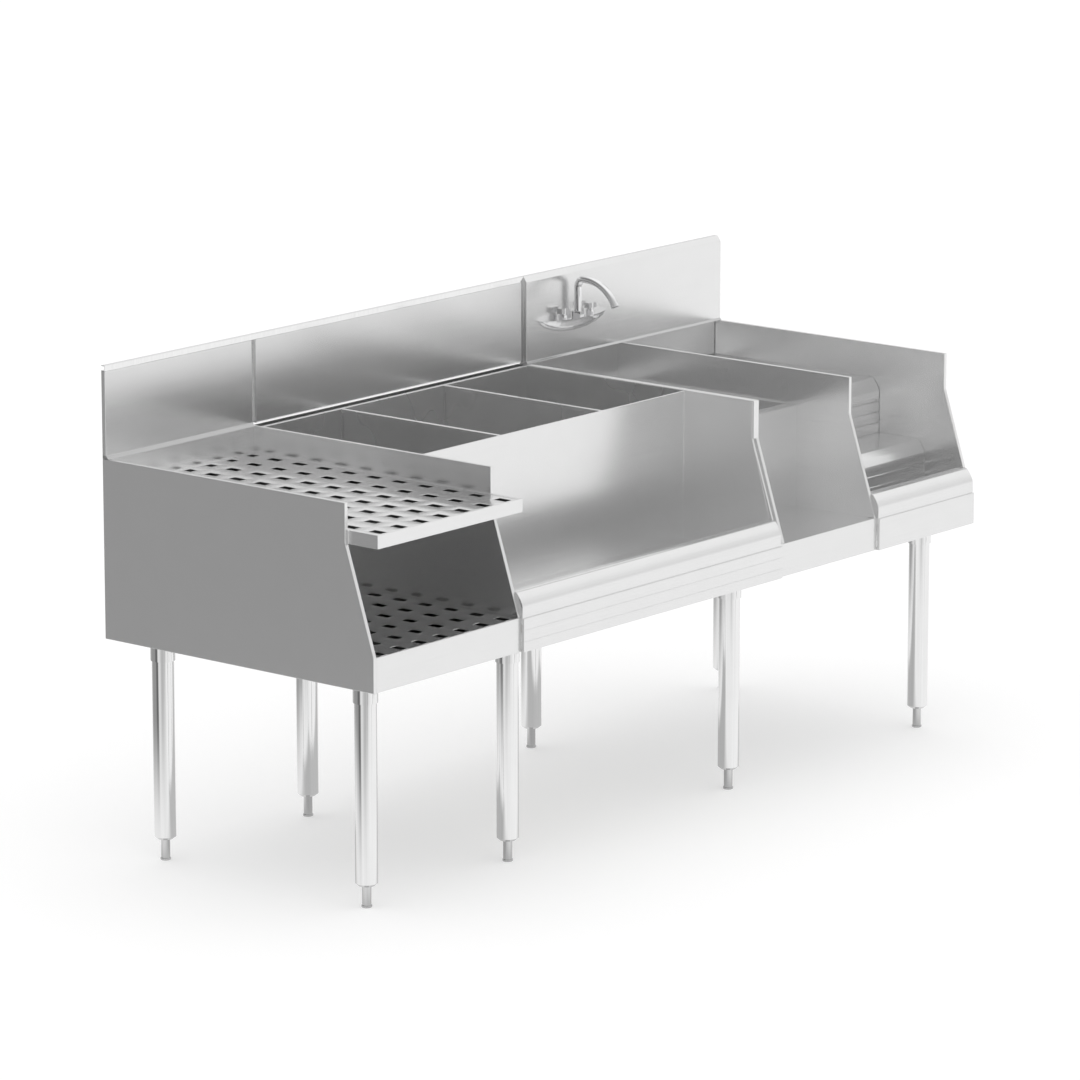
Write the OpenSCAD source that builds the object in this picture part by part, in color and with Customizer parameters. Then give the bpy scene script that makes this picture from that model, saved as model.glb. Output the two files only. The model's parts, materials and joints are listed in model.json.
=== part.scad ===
// Underbar sink station: perforated drainboard, ice bin with bottle wells,
// blender recess with dump sink and faucet, and a stepped bottle rack, on eight legs.
// Millimetres. Origin on the floor, in the middle of the footprint. The front faces -Y.

/* [Overall] */
// Length of the whole station
unit_l = 1829; // [1780:1:2000]
// Depth from the back plane to the front plane of the body
unit_d = 660; // [630:1:700]
// Height of the backsplash above the floor
unit_h = 940; // [920:1:980]
// Height of the deck rim above the floor
rim_h = 764; // [755:1:775]
// Height of the underside of the body above the floor
body_z = 424; // [415:1:430]
// Thickness of the folded sheet
sheet = 1.5; // [1:0.1:2]

/* [Side Panels] */
// Thickness of a folded double-skin panel
panel_t = 8; // [6:0.5:10]
// How far the upright part of the front edge stands behind the front plane
nose_set = 66; // [60:1:75]
// How far below the rim the front edge starts to slope
nose_drop = 74; // [68:1:84]
// Height at which the slope ends, and of the plain apron tops
slope_z = 489; // [484:1:492]

/* [Modules] */
// Length of the drainboard module
drain_l = 411; // [400:1:420]
// Length of the ice bin module
bin_l = 790; // [780:1:800]
// Length of the blender module
blender_l = 308; // [300:1:320]

/* [Aprons] */
// How far the bin and rack aprons stand in front of the plain ones
apron_proud = 7; // [5:0.5:9]
// Height of the top edge of the proud aprons
apron_z = 487; // [482:1:488]
// Width of an apron's bottom return flange
apron_return = 18; // [12:1:24]
// Distance between the grooves pressed in the bin apron and the risers
groove_pitch = 22; // [20:0.5:24]
// Depth of a groove
groove_depth = 1.1; // [0.8:0.1:1.4]
// Width of a groove
groove_w = 2; // [1.8:0.1:4]

/* [Front Rails] */
// Height of the top of the front rails
rail_z = 536; // [530:1:542]
// Depth of the bent nose of the rails and steps
nose_in = 16; // [12:0.5:20]
// Height of the bent nose of the rails and steps
nose_h = 25; // [20:0.5:28]
// How far the rail's rear edge stands behind the front plane
rail_set = 27.5; // [26:0.5:32]

/* [Drainboard] */
// How far the perforated deck is below the rim
deck_drop = 51; // [46:1:56]
// Height of the drain pan's front lip
lip_h = 25; // [20:1:28]
// How far the front lip stands in front of the body
lip_proud = 4; // [2:0.5:6]
// Size of a perforation along the length
hole_x = 16; // [10:1:20]
// Size of a perforation along the depth
hole_y = 25; // [15:1:30]
// Columns of perforations
hole_cols = 7; // [5:1:7]
// Distance between columns
hole_pitch_x = 57.7; // [50:0.1:58]
// Rows of perforations in the deck insert
deck_rows = 11; // [6:1:11]
// Rows of perforations in the lower shelf insert
shelf_rows = 11; // [6:1:11]
// Distance between rows
hole_pitch_y = 62; // [55:0.5:62]
// How far the deck's front row of perforations stands behind the front plane
deck_row_set = 17; // [17:1:30]
// How far the shelf's front row of perforations stands behind the front plane
shelf_row_set = 18; // [18:1:24]
// Height of the turned-down edges of the inserts
skirt_h = 18; // [12:1:19]
// Gap between a lift-out piece and what it lies in
lift_gap = 0.8; // [0.5:0.1:1]
// Gap under a piece that rests on another
seat_gap = 0.3; // [0.2:0.05:0.5]

/* [Ice Bin] */
// Height of the bin floor
bin_floor_z = 470; // [466:1:476]
// How far the bin's rear wall stands behind the front plane
bin_set = 236; // [230:1:245]
// Distance from the bin module's left end to the bin's drain
bin_out_l = 120; // [90:1:200]
// Thickness of the insulation under the bin floor
foam_t = 20; // [14:1:22]

/* [Bottle Wells] */
// Height of the wells' floor
well_floor_z = 520; // [500:1:560]
// Depth from the back plane to the wells' rear wall
well_back = 26; // [24:1:32]
// Width of the rim flange behind the wells
well_rim = 6.5; // [5:0.5:7]
// Distance from the bin module's left end to the first divider
divider_1 = 225; // [215:1:235]
// Distance from the bin module's left end to the second divider
divider_2 = 527.5; // [515:0.5:540]
// Width of the hemmed top edge of a divider
hem_w = 9; // [4:0.5:10]
// Width of a divider guide channel
guide_w = 6.5; // [6:0.5:10]

/* [Blender Recess And Dump Sink] */
// How far the recess's rear wall stands behind the front plane
recess_set = 193.5; // [185:0.5:205]
// Height of the dump sink's rim
sink_z = 693.5; // [690:0.5:700]
// Width of the sink's rim flange
sink_rim = 9; // [6:0.5:12]
// Depth of the dump sink
sink_deep = 150; // [120:1:170]
// Width of the sink's flat rim at the front
sink_rim_front = 26; // [20:1:40]
// Width of the sink's flat rim at the back
sink_rim_back = 43; // [36:1:60]

/* [Bottle Rack] */
// Height of the upper step
upper_z = 694; // [688:1:698]
// How far the upper riser stands behind the front plane
upper_set = 226; // [218:1:232]
// Height of the lower step
lower_z = 582; // [575:1:590]
// How far the lower riser stands behind the front plane
lower_set = 111; // [105:1:120]
// Width of the flanges that close the steps
step_flange = 16; // [12:1:20]
// How far a lower piece reaches under the step above it
step_under = 24; // [20:1:30]
// Height of the rack floor
rack_floor_z = 472; // [468:1:476]
// Gap between the steps' right ends and the side panel
step_gap = 1.2; // [0.5:0.1:2]

/* [Backsplash] */
// Thickness of the left and centre backsplash panels
splash_t = 9; // [7:0.5:11]
// How far the right backsplash panel stands in front of the others
splash_step = 8; // [6:0.5:9]
// Height of the rail along the top of the backsplash
top_rail_h = 11; // [9:0.5:13]
// Width of the joint strip between the left and centre panels
joint_w = 11; // [8:0.5:12]
// Size of the cove at the foot of the backsplash
cove = 6.5; // [5:0.5:8]

/* [Legs] */
// Outside diameter of a leg tube
leg_d = 41.3; // [38:0.1:42]
// Wall of a leg tube
leg_wall = 1.5; // [1.2:0.1:2]
// Height of the lower end of the leg tubes
leg_z = 46; // [40:0.5:50]
// Distance from the back plane to the rear legs
leg_back_d = 82; // [75:1:90]
// How far the front legs stand behind the front plane
leg_set = 79; // [70:1:85]
// Distance from the station's ends to the end legs
leg_end = 67; // [60:1:75]
// Distance from the bin module's left end to its left leg
leg_bin_1 = 55; // [50:1:60]
// Distance from the bin module's left end to its right leg
leg_bin_2 = 726; // [720:1:732]
// Wall of a leg socket
socket_wall = 2.4; // [2:0.1:3]
// Length of a leg socket
socket_h = 40; // [34:1:44]
// Clearance round a leg tube in its socket
socket_clear = 0.1; // [0.05:0.01:0.15]
// Diameter of a leveling foot
foot_d = 17; // [15:0.1:19]
// Diameter of a foot's base
foot_base_d = 20; // [19:0.1:24]
// Length of a foot that is up inside the leg
foot_in = 42; // [40:1:50]
// Clearance round a foot in its plug
foot_clear = 0.06; // [0.03:0.01:0.1]
// Travel of a leveling foot
foot_travel = 25; // [15:1:25]

/* [Underframe] */
// Height of the frame channels
frame_h = 20; // [16:1:21]
// Width of the frame channels
frame_w = 60; // [52:1:66]

/* [Faucet] */
// Distance from the blender module's left end to the faucet's centre
faucet_x = 141; // [130:1:150]
// Share of the backsplash's height at which the faucet body's top stands
faucet_share = 0.46; // [0.42:0.01:0.52]
// Length of the faucet body
faucet_l = 204; // [195:1:215]
// Largest radius of the faucet body
faucet_r = 42; // [40:0.5:46]
// Distance between the two supply shanks
faucet_pitch = 101.6; // [98:0.1:106]
// Distance between the two valves
valve_pitch = 86; // [78:1:94]
// Radius of a supply shank where it passes through the splash
shank_r = 7; // [6.8:0.05:8]
// Radius of a supply shank's tail
shank_tail_r = 6.35; // [6:0.05:6.5]
// Distance from the splash to the spout's axis
spout_y = 17; // [14:0.5:19]
// Distance from the splash to the handle axes
stem_y = 14; // [11:0.5:16]
// Outside diameter of the spout
spout_d = 15; // [13:0.1:16]
// Straight rise of the spout above the body
spout_rise = 58; // [48:1:64]
// Radius of the spout's first bend, a quarter turn
bend_1_r = 17; // [14:0.5:22]
// Straight length between the spout's bends
bend_gap = 5; // [3:0.5:10]
// Radius of the spout's long bend
bend_2_r = 81.5; // [75:0.5:88]
// Angle of the spout's long bend
bend_2_a = 61; // [55:1:66]
// Running clearance of the stems and of the spout
run_clear = 0.06; // [0.03:0.01:0.1]

/* [Drains] */
// Radius of the sink and bin tailpieces
tail_r = 19; // [16:0.5:20]
// Radius of the threaded drain bodies
thread_r = 20; // [17:0.5:21]
// Radius of the drain pan's outlet
outlet_r = 12.7; // [10:0.1:14]
// Wall of the tailpieces
tail_wall = 1.6; // [1.2:0.1:2]
// Height of the lower ends of the tailpieces
tail_z = 376; // [360:1:390]
// Length of the drain pan's outlet
outlet_l = 48; // [35:1:65]
// How far the sink's drain stands in front of the sink's middle
sink_out_fwd = 30; // [0:1:40]
// Distance from the ice bin's rear wall to its drain
bin_out_fwd = 70; // [60:1:120]
// Distance from the drain pan's rear wall to its outlet
pan_out_fwd = 90; // [70:1:120]
// Radius of the drain flanges
flange_r = 38; // [34:0.5:42]
// Radius of the locknuts
nut_r = 32; // [28:0.5:34]
// Thickness of the locknuts
nut_t = 8; // [6:0.5:9]

/* [Hidden] */
$fn = 48;

steel = [0.78, 0.79, 0.80];
bright = [0.86, 0.87, 0.88];
chrome = [0.92, 0.93, 0.94];
foam = [0.92, 0.90, 0.80];
eps = 0.01;
over = 20;

// Places along the length, measured from the left end
x_bin = drain_l;
x_blender = drain_l + bin_l;
x_rack = x_blender + blender_l;
x_drain_in = drain_l - panel_t;
x_bin_in = x_blender - panel_t;
x_blender_in = x_blender + panel_t;
x_recess_in = x_rack - panel_t;
x_end_in = unit_l - panel_t;
x_step_end = x_end_in - step_gap;

// Depths and heights that several pieces share
nose_d = unit_d - nose_set;
rail_back = unit_d - rail_set;
deck_row_d = unit_d - deck_row_set;
shelf_row_d = unit_d - shelf_row_set;
bin_back = unit_d - bin_set;
recess_back = unit_d - recess_set;
upper_d = unit_d - upper_set;
lower_d = unit_d - lower_set;
leg_front_d = unit_d - leg_set;
faucet_z = rim_h + faucet_share * (unit_h - rim_h);
nose_z = rim_h - nose_drop;
deck_z = rim_h - deck_drop;
outlet_z = deck_z - lip_h - outlet_l;
seam = 0.2;
rail_front = unit_d + apron_proud - 3.5;
rail_low = apron_z - 12;
nose_mid_in = 0.62;
nose_mid_h = 0.5;
frame_top = body_z + frame_h;
partition_z = frame_top + 2;
wall_top = rim_h - 1;
splash_face = splash_t + splash_step;
upstand_d = splash_t + 1;
slope = nose_set / (nose_z - slope_z);
insert_d = splash_t + cove + lift_gap;
shelf_front = unit_d - sheet - 0.5;
hole_mid = (panel_t + x_drain_in) / 2;
tub_front = bin_back - 2 * sheet;
leg_x = [leg_end, x_bin + leg_bin_1, x_bin + leg_bin_2, unit_l - leg_end];
leg_y = [leg_front_d, leg_back_d];
faucet_mid = x_blender + faucet_x;
faucet_axis_z = faucet_z + 10;
faucet_axis_y = splash_face - 3;
faucet_half = faucet_l / 2;
faucet_a = faucet_half / sqrt(1 - pow((faucet_axis_z - faucet_z) / faucet_r, 2));
shank_nut_t = 4;
shank_step = splash_face - sheet - shank_nut_t - 1;
stem_r = 4;
stem_in = 14;
bonnet_h = 7;
bonnet_r = 9;
hub_h = 13;
hub_r = 6.5;
lever_l = 23;
lever_w = 12.5;
lever_h = 11;
lever_in = lever_l / 2;
spout_in = 16;
nut_h = 9;
nut_flat_r = 12.5;
aerator_l = 6;
aerator_r = 8.6;
sink_mid = (x_blender_in + x_recess_in) / 2;
sink_out_y = (recess_back + upstand_d) / 2 + sink_out_fwd;
bin_out_x = x_bin + bin_out_l;
bin_out_y = bin_back + bin_out_fwd;
pan_out_x = hole_mid + hole_pitch_x / 2;
pan_out_y = upstand_d + pan_out_fwd;
sink_floor_z = sink_z - sink_deep;
flange_t = 2.5;
barrel_h = 46;
screen_r = tail_r - tail_wall - lift_gap;
screen_t = 2;
plug_h = 26;
plug_wall_gap = 0.05;
foot_base_h = 4;
screw_r = 3;
screw_l = 5;

function unit(v) = v / norm(v);
function left_normal(a, b) = let (d = unit(b - a)) [-d[1], d[0]];
function mitre(pts, i, t) =
    i == 0 ? pts[0] + t * left_normal(pts[0], pts[1])
    : i == len(pts) - 1 ? pts[i] + t * left_normal(pts[i - 1], pts[i])
    : let (n1 = left_normal(pts[i - 1], pts[i]), n2 = left_normal(pts[i], pts[i + 1]))
        pts[i] + t * (n1 + n2) / (1 + n1 * n2);
function sheet_outline(pts, t) =
    concat(pts, [for (i = [len(pts) - 1:-1:0]) mitre(pts, i, t)]);

// The profile of a folded sheet: t to the left of its path, or to the right where t is negative
module sheet_profile(pts, t = sheet) {
    polygon(sheet_outline(pts, t));
}

// Moves a piece from the corner frame to the station's own origin
module place() {
    translate([-unit_l / 2, (unit_d + apron_proud) / 2, 0]) children();
}

// Extrudes a profile drawn in Y and Z along the length, between two places
module along_x(x0, x1) {
    translate([x0, 0, 0]) rotate([90, 0, 90]) linear_extrude(x1 - x0) children();
}

module box(x0, x1, y0, y1, z0, z1) {
    translate([x0, y0, z0]) cube([x1 - x0, y1 - y0, z1 - z0]);
}

// A front edge bent in two flats, from its top to its face
function nose(front, top) = [
    [-front + nose_in, top],
    [-front + nose_in * (1 - nose_mid_in), top - nose_h * nose_mid_h],
    [-front, top - nose_h]
];

// The points of grooves pressed in a face, going down
function grooves(front, z_list) =
    [for (z = z_list, k = [0:2])
        [-front + (k == 1 ? groove_depth : 0), z + (1 - k) * groove_w / 2]];

// The outline of a side panel, drawn in by a margin, and open at the bottom when cut is above zero
function panel_outline(margin, front_top, low, cut = 0) = [
    [-margin, low - cut],
    [-margin, rim_h - margin],
    [-(nose_d - margin), rim_h - margin],
    [-(nose_d - margin), nose_z - margin * slope / 2],
    [-(unit_d - margin) + (front_top - slope_z) * slope, front_top],
    [-(unit_d - margin), slope_z],
    [-(unit_d - margin), low - cut]
];

// An end panel: a folded outer skin round a hollow that is open at the bottom
module end_panel(x0) {
    difference() {
        along_x(x0, x0 + panel_t) polygon(panel_outline(0, slope_z + 1, body_z));
        along_x(x0 + sheet, x0 + panel_t - sheet)
            polygon(panel_outline(sheet, slope_z + 1, body_z, over));
    }
}

// An inner partition: its lower front stands behind the aprons
function partition_outline(margin, set_back, low, cut = 0) =
    let (foot = apron_return + 1 + margin,
        edge = function(z) -(unit_d - (z - slope_z) * slope) + margin + set_back) [
    [-sheet - margin, low - cut],
    [-sheet - margin, rim_h - margin],
    [-(nose_d - margin), rim_h - margin],
    [-(nose_d - margin), nose_z - margin * slope / 2],
    [-(nose_d - margin - set_back), nose_z - margin * slope / 2 - eps],
    [edge(slope_z + 0.5), slope_z + 0.5 + margin],
    [-(unit_d - foot), slope_z + 0.5 + margin],
    [-(unit_d - foot), low - cut]
];

module partition(x0, set_back = 0) {
    difference() {
        along_x(x0, x0 + panel_t) polygon(partition_outline(0, set_back, partition_z));
        along_x(x0 + sheet, x0 + panel_t - sheet)
            polygon(partition_outline(sheet, set_back, partition_z, over));
    }
}

module left_side_panel() {
    color(steel) end_panel(0);
}

// The right panel is notched round the rack's front rail
module right_side_panel() {
    color(steel) difference() {
        end_panel(x_end_in);
        box(x_end_in - over, unit_l + over, -unit_d - over, -rail_back + seam, rail_low - seat_gap, rail_z + seat_gap);
    }
}

module drain_partition() {
    color(steel) partition(x_drain_in);
}

module blender_left_panel() {
    color(steel) partition(x_blender);
}

module rack_partition() {
    color(steel) partition(x_recess_in);
}

// The bin's own right panel stands a little behind the next one
module bin_right_panel() {
    color(steel) partition(x_bin_in, 4);
}

// A backsplash panel: a shallow box, open at the back, with a cove along its foot
module splash_box(x0, x1, z0, z1, front, cove_size) {
    difference() {
        union() {
            box(x0, x1, -front, 0, z0, z1);
            along_x(x0, x1) polygon([[-front + eps, z0], [-front - cove_size, z0],
                [-front + eps, z0 + cove_size]]);
        }
        box(x0 + sheet, x1 - sheet, -front + sheet, over, z0 + sheet, z1 - sheet);
    }
}

splash_z = rim_h + seam;
splash_top = unit_h - top_rail_h;

module splash_left() {
    color(steel) splash_box(0, x_bin - joint_w, splash_z, splash_top, splash_t, cove);
}

module splash_center() {
    lift = 4;
    color(steel) splash_box(x_bin, x_blender - panel_t, splash_z + lift, splash_top, splash_t, 1.5);
}

// The right panel stands proud, slopes back at its top and is open at the back
module splash_right() {
    small_cove = 4;
    face = splash_face - sheet;
    color(steel) difference() {
        union() {
            along_x(x_blender, unit_l) polygon([[0, splash_z], [-splash_face, splash_z],
                [-splash_face, splash_top], [-splash_t, unit_h], [0, unit_h]]);
            along_x(x_blender, unit_l) polygon([[-splash_face + eps, splash_z],
                [-splash_face - small_cove, splash_z], [-splash_face + eps, splash_z + small_cove]]);
        }
        along_x(x_blender + sheet, unit_l - sheet) polygon([[over, splash_z + sheet],
            [-face, splash_z + sheet], [-face, splash_top - sheet / 2],
            [-splash_t + sheet, unit_h - sheet], [over, unit_h - sheet]]);
        for (s = [-1, 1]) translate([faucet_mid + s * faucet_pitch / 2, over, faucet_z - 8])
            rotate([90, 0, 0]) cylinder(r = shank_r + 0.3, h = 3 * over);
    }
}

// The joint strips between the panels and the rail along their tops
module splash_trim() {
    color(bright) {
        box(x_bin - joint_w, x_bin, -sheet, 0, splash_z, splash_top);
        box(x_blender - panel_t, x_blender, -splash_t, -splash_t + 2 * sheet, splash_z, splash_top);
        along_x(0, x_blender) sheet_profile([[0, splash_top], [-splash_t, splash_top],
            [-splash_t, unit_h], [0, unit_h]], -sheet);
    }
}

module rear_panel() {
    color(steel) box(panel_t, x_end_in, -sheet, 0, frame_top, rim_h);
}

// The pan under the perforated deck, with its tall rear wall and its front lip
module drain_pan() {
    low = deck_z - lip_h;
    front = unit_d + lip_proud;
    wing = drain_l - 0.5;
    step = nose_d + 1;
    color(steel) {
        difference() {
            union() {
                box(panel_t, x_drain_in, -step, -sheet, low, deck_z);
                box(panel_t + 0.5, wing, -front, -step + eps, low, deck_z);
                box(panel_t, x_drain_in, -upstand_d, -upstand_d + sheet, deck_z - sheet, rim_h);
            }
            box(panel_t + sheet, x_drain_in - sheet, -front + sheet, -upstand_d, low + sheet,
                deck_z + over);
            box(panel_t + sheet, wing - sheet, -front + sheet, -step - sheet, low + sheet, deck_z - sheet);
            box(panel_t - over, x_drain_in + over, -upstand_d + sheet, over, low - over, deck_z + over);
            translate([pan_out_x, -pan_out_y, low - over]) cylinder(r = outlet_r + 0.1, h = 2 * over);
        }
        box(panel_t, x_drain_in, lift_gap - insert_d, -upstand_d + eps, deck_z - sheet, deck_z);
    }
}

// A perforated lift-out insert with turned-down edges
module insert(x0, x1, front, back, top, skirt, rows, row_d) {
    difference() {
        box(x0, x1, -front, -back, top - skirt, top);
        box(x0 + sheet, x1 - sheet, -front + sheet, -back - sheet, top - skirt - over, top - sheet);
        for (c = [0:hole_cols - 1], r = [0:rows - 1]) {
            x = hole_mid + (c - (hole_cols - 1) / 2) * hole_pitch_x;
            y = -row_d + r * hole_pitch_y - hole_y / 2;
            y_end = min(y + hole_y, -back - 2 * sheet);
            if (y_end > y + sheet)
                box(x - hole_x / 2, x + hole_x / 2, y, y_end, top - sheet - over, top + over);
        }
    }
}

module drain_insert() {
    skirt = lip_h - sheet - seat_gap;
    color(steel) insert(panel_t + sheet + lift_gap, x_drain_in - sheet - lift_gap,
        unit_d + lip_proud - sheet - lift_gap, insert_d, deck_z, skirt, deck_rows, deck_row_d);
}

module drain_outlet() {
    low = deck_z - lip_h;
    collar = 3;
    color(bright) translate([pan_out_x, -pan_out_y, outlet_z]) difference() {
        union() {
            cylinder(r = outlet_r, h = low - outlet_z + sheet);
            translate([0, 0, low - outlet_z - collar]) cylinder(r = outlet_r + collar, h = collar);
        }
        translate([0, 0, -over]) cylinder(r = outlet_r - tail_wall, h = lip_h + low);
    }
}

// The perforated shelf of the open compartment, flush with its apron
module lower_shelf() {
    color(steel) insert(panel_t + lift_gap, x_drain_in - lift_gap, shelf_front, sheet + lift_gap,
        slope_z, skirt_h, shelf_rows, shelf_row_d);
}

// The tray under the lower shelf, whose side flanges carry it
module shelf_tray() {
    ledge_w = 22;
    low = frame_top + seat_gap;
    top = slope_z - skirt_h - seat_gap;
    front = unit_d - apron_return - 2;
    depth = front - 2 * sheet;
    color(steel) translate([panel_t, -front, low]) difference() {
        cube([x_drain_in - panel_t, depth, top - low]);
        translate([sheet, -over, sheet])
            cube([x_drain_in - panel_t - 2 * sheet, depth + 2 * over, top - low - 2 * sheet]);
        translate([ledge_w, -over, (top - low) / 2])
            cube([x_drain_in - panel_t - 2 * ledge_w, depth + 2 * over, top - low]);
    }
}

// A plain apron: its face, and its bottom return flange
module plain_apron(x0, x1) {
    color(steel) along_x(x0, x1) sheet_profile([[-unit_d, slope_z], [-unit_d, body_z],
        [-unit_d + apron_return, body_z]]);
}

module drain_apron() {
    plain_apron(panel_t, x_bin);
}

module blender_apron() {
    plain_apron(x_bin_in, x_rack);
}

// A proud apron, its top flange against the rail, with pressed grooves
module proud_apron(x0, x1, z_list) {
    front = unit_d + apron_proud;
    color(steel) union() {
        along_x(x0, x1) sheet_profile(concat(
            [[-rail_front, apron_z], [-front, apron_z]],
            grooves(front, z_list),
            [[-front, body_z], [-front + apron_return, body_z]]));
        for (x = [x0, x1 - sheet])
            along_x(x, x + sheet) polygon(concat(
                [[-rail_front, apron_z], [-front, apron_z]],
                grooves(front, z_list),
                [[-front, body_z], [-unit_d, body_z], [-unit_d, rail_low - seat_gap],
                    [-rail_front, rail_low - seat_gap]]));
    }
}

module bin_apron() {
    proud_apron(x_bin, x_bin_in, [apron_z - groove_pitch, apron_z - 2 * groove_pitch]);
}

// The rack's apron passes in front of the right panel
module rack_apron() {
    difference() {
        proud_apron(x_rack, unit_l, []);
        box(x_end_in, unit_l + over, -unit_d, 0, body_z - over, apron_z + over);
    }
}

// A rail bent over the front wall of a tub, closed at its ends
module front_rail(x0, x1) {
    path = concat([[-rail_back, rail_z]], nose(rail_front, rail_z), [[-rail_front, rail_low]]);
    color(steel) union() {
        along_x(x0, x1) sheet_profile(path);
        along_x(x0, x0 + sheet) polygon(cap_outline(path));
        along_x(x1 - sheet, x1) polygon(cap_outline(path));
    }
}

// An end cap fills the rail's profile behind its face
function cap_outline(path) =
    concat([for (p = path) p], [[-rail_back - sheet - 0.1, rail_low],
        [-rail_back - sheet - 0.1, rail_z - sheet], [-rail_back, rail_z - sheet]]);

module bin_front_rail() {
    front_rail(x_bin, x_bin_in);
}

module rack_front_rail() {
    front_rail(x_rack, unit_l);
}

// The bin: floor, rear wall to the rim, front wall to the rail, and sloping side walls
module bin_liner() {
    front_top = rail_z - sheet;
    edge_y = -nose_d + 3;
    color(steel) difference() {
        along_x(x_bin, x_bin_in) polygon([
            [-bin_back + sheet, bin_floor_z - sheet], [-bin_back + sheet, wall_top],
            [edge_y, wall_top], [edge_y, nose_z],
            [-rail_back, rail_z + 8], [-rail_back, front_top],
            [-rail_back - sheet, front_top], [-rail_back - sheet, bin_floor_z - sheet]]);
        along_x(x_bin + sheet, x_bin_in - sheet) polygon([
            [-bin_back, bin_floor_z], [-bin_back, rim_h + over], [-unit_d - over, rim_h + over],
            [-unit_d - over, front_top], [-rail_back, front_top], [-rail_back, bin_floor_z]]);
        translate([bin_out_x, -bin_out_y, bin_floor_z - over])
            cylinder(r = thread_r + 0.2, h = 2 * over);
    }
}

// Foam slab under the bin floor
module bin_insulation() {
    top = bin_floor_z - sheet;
    color(foam) difference() {
        box(x_bin + panel_t, x_bin_in - panel_t, -rail_back + 6, -bin_back - 6, top - foam_t, top);
        translate([bin_out_x, -bin_out_y, top - foam_t - over])
            cylinder(r = thread_r + 0.5, h = foam_t + 2 * over);
    }
}

// A drain body: a flange on the floor and a threaded barrel below it
module drain_body(barrel_l, floor_z) {
    translate([0, 0, floor_z]) cylinder(r = flange_r, h = flange_t);
    translate([0, 0, floor_z - barrel_l]) cylinder(r = thread_r, h = barrel_l + flange_t);
}

// The bin's drain, its tailpiece in one piece with its flange
module bin_drain() {
    barrel_l = sheet + foam_t + nut_t + 3;
    color(bright) translate([bin_out_x, -bin_out_y, 0]) difference() {
        union() {
            drain_body(barrel_l, bin_floor_z);
            translate([0, 0, tail_z]) cylinder(r = tail_r, h = bin_floor_z - tail_z);
        }
        translate([0, 0, tail_z - over]) cylinder(r = tail_r - tail_wall, h = bin_floor_z);
    }
}

// A lift-out strainer: a rim that lies on the drain flange and a perforated plug in its mouth
module strainer(x, y, floor_z) {
    mouth = 6;
    hole_r = 1.8;
    translate([x, y, floor_z + flange_t + seat_gap]) difference() {
        union() {
            cylinder(r = thread_r + 5, h = screen_t);
            translate([0, 0, -mouth]) cylinder(r = screen_r, h = mouth + screen_t);
        }
        for (k = [0:5]) rotate([0, 0, 60 * k]) translate([screen_r * 0.62, 0, -over])
            cylinder(r = hole_r, h = 2 * over);
        translate([0, 0, -over]) cylinder(r = hole_r, h = 2 * over);
    }
}

module bin_drain_screen() {
    color(bright) strainer(bin_out_x, -bin_out_y, bin_floor_z);
}

// The tub of the three bottle wells, with its rim flange at the back
module bottle_wells() {
    color(steel) difference() {
        union() {
            box(x_bin, x_bin_in, -tub_front - sheet, -well_back + sheet, well_floor_z - sheet, wall_top);
            box(x_bin, x_bin_in, -well_back, -well_back + sheet + well_rim, wall_top - sheet, wall_top);
        }
        box(x_bin + sheet, x_bin_in - sheet, -tub_front, -well_back, well_floor_z, rim_h + over);
    }
}

// A lift-out divider: a plain sheet with a hemmed top edge, standing in its guides
module divider(x) {
    gap = 1.5;
    front = tub_front - gap;
    back = well_back + gap;
    color(bright) {
        union() {
            box(x - sheet / 2, x + sheet / 2, -front, -back, well_floor_z + seat_gap, wall_top);
            box(x - hem_w / 2, x + hem_w / 2, -front, -back, wall_top - 6, wall_top);
        }
    }
}

module well_divider_left() {
    divider(x_bin + divider_1);
}

module well_divider_right() {
    divider(x_bin + divider_2);
}

// Small channels on the tub's walls that hold the dividers' edges
module divider_guides() {
    depth = 3.5;
    slot = sheet + 2 * lift_gap;
    high = wall_top - 12;
    low = well_floor_z + 10;
    color(steel) for (x = [x_bin + divider_1, x_bin + divider_2]) {
        difference() {
            box(x - guide_w / 2, x + guide_w / 2, -well_back - depth, -well_back, low, high);
            box(x - slot / 2, x + slot / 2, -well_back - depth - over, -well_back - 1, low - over, high + over);
        }
        difference() {
            box(x - guide_w / 2, x + guide_w / 2, -tub_front, -tub_front + depth, low, high);
            box(x - slot / 2, x + slot / 2, -tub_front + 1, -tub_front + depth + over, low - over, high + over);
        }
    }
}

// The floor and rear wall of the blender recess
module recess_pan() {
    lip = 20;
    front = unit_d - sheet;
    color(steel) along_x(x_blender_in, x_recess_in) sheet_profile([[-front, slope_z - lip],
        [-front, slope_z], [-recess_back, slope_z], [-recess_back, sink_z - sheet],
        [-recess_back + step_flange, sink_z - sheet]], -sheet);
}

// The dump sink: a basin with a flat rim and a tall rear upstand
module dump_sink() {
    x0 = x_blender_in;
    x1 = x_recess_in;
    inner_front = recess_back - sink_rim_front;
    inner_back = upstand_d + sink_rim_back;
    color(steel) difference() {
        union() {
            box(x0, x1, -recess_back, -upstand_d, sink_z - sheet, sink_z);
            box(x0, x1, -upstand_d, -upstand_d + sheet, sink_z - sheet, rim_h);
            box(x0 + sink_rim - sheet, x1 - sink_rim + sheet, -inner_front - sheet, -inner_back + sheet,
                sink_floor_z - sheet, sink_z - sheet + eps);
        }
        box(x0 + sink_rim, x1 - sink_rim, -inner_front, -inner_back, sink_floor_z, sink_z + over);
        translate([sink_mid, -sink_out_y, sink_floor_z - over]) cylinder(r = thread_r + 0.2, h = 2 * over);
    }
}

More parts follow.
